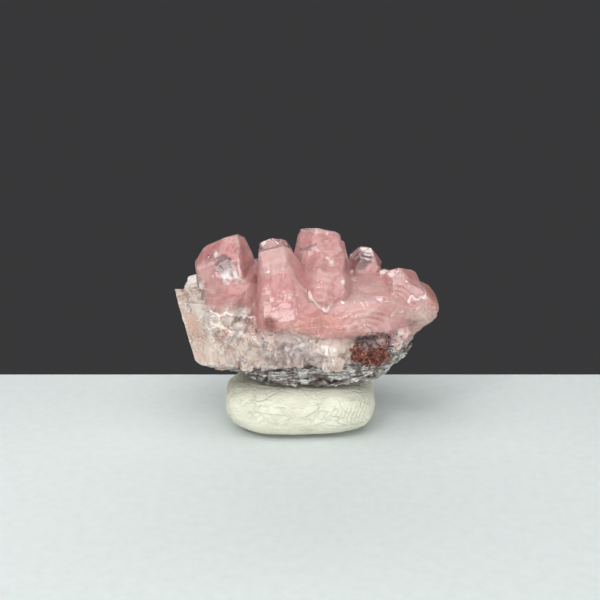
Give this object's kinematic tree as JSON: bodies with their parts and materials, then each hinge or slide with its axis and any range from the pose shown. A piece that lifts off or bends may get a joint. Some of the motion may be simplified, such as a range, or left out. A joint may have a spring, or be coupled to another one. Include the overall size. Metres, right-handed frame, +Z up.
{
  "type": "cobaltoan calcite cluster",
  "caption": "Natural cluster of pink cobaltoan calcite crystals on massive calcite with a rock crust, standing on a wad of mounting putty.",
  "frame": {"origin": "middle of the bounding box, on the surface that the putty wad stands on", "axes": "+Z up, +X along the cluster's longest side, the best face with the large crystals towards -Y"},
  "size_m": [0.0308, 0.0181, 0.0234],
  "materials": {
    "pink_calcite": "translucent pink crystal with glassy faces, passing to peach and cream massive calcite",
    "iron_oxide": "rough red-brown earthy iron oxide",
    "host_rock": "rough grey-white rock with dark brown hollows",
    "putty": "matt cream mounting putty with finger creases"
  },
  "bodies": {
    "root": {"calcite": "pink_calcite", "oxide_nodule": "iron_oxide", "rock_crust": "host_rock", "putty_wad": "putty"}
  },
  "joints": []
}
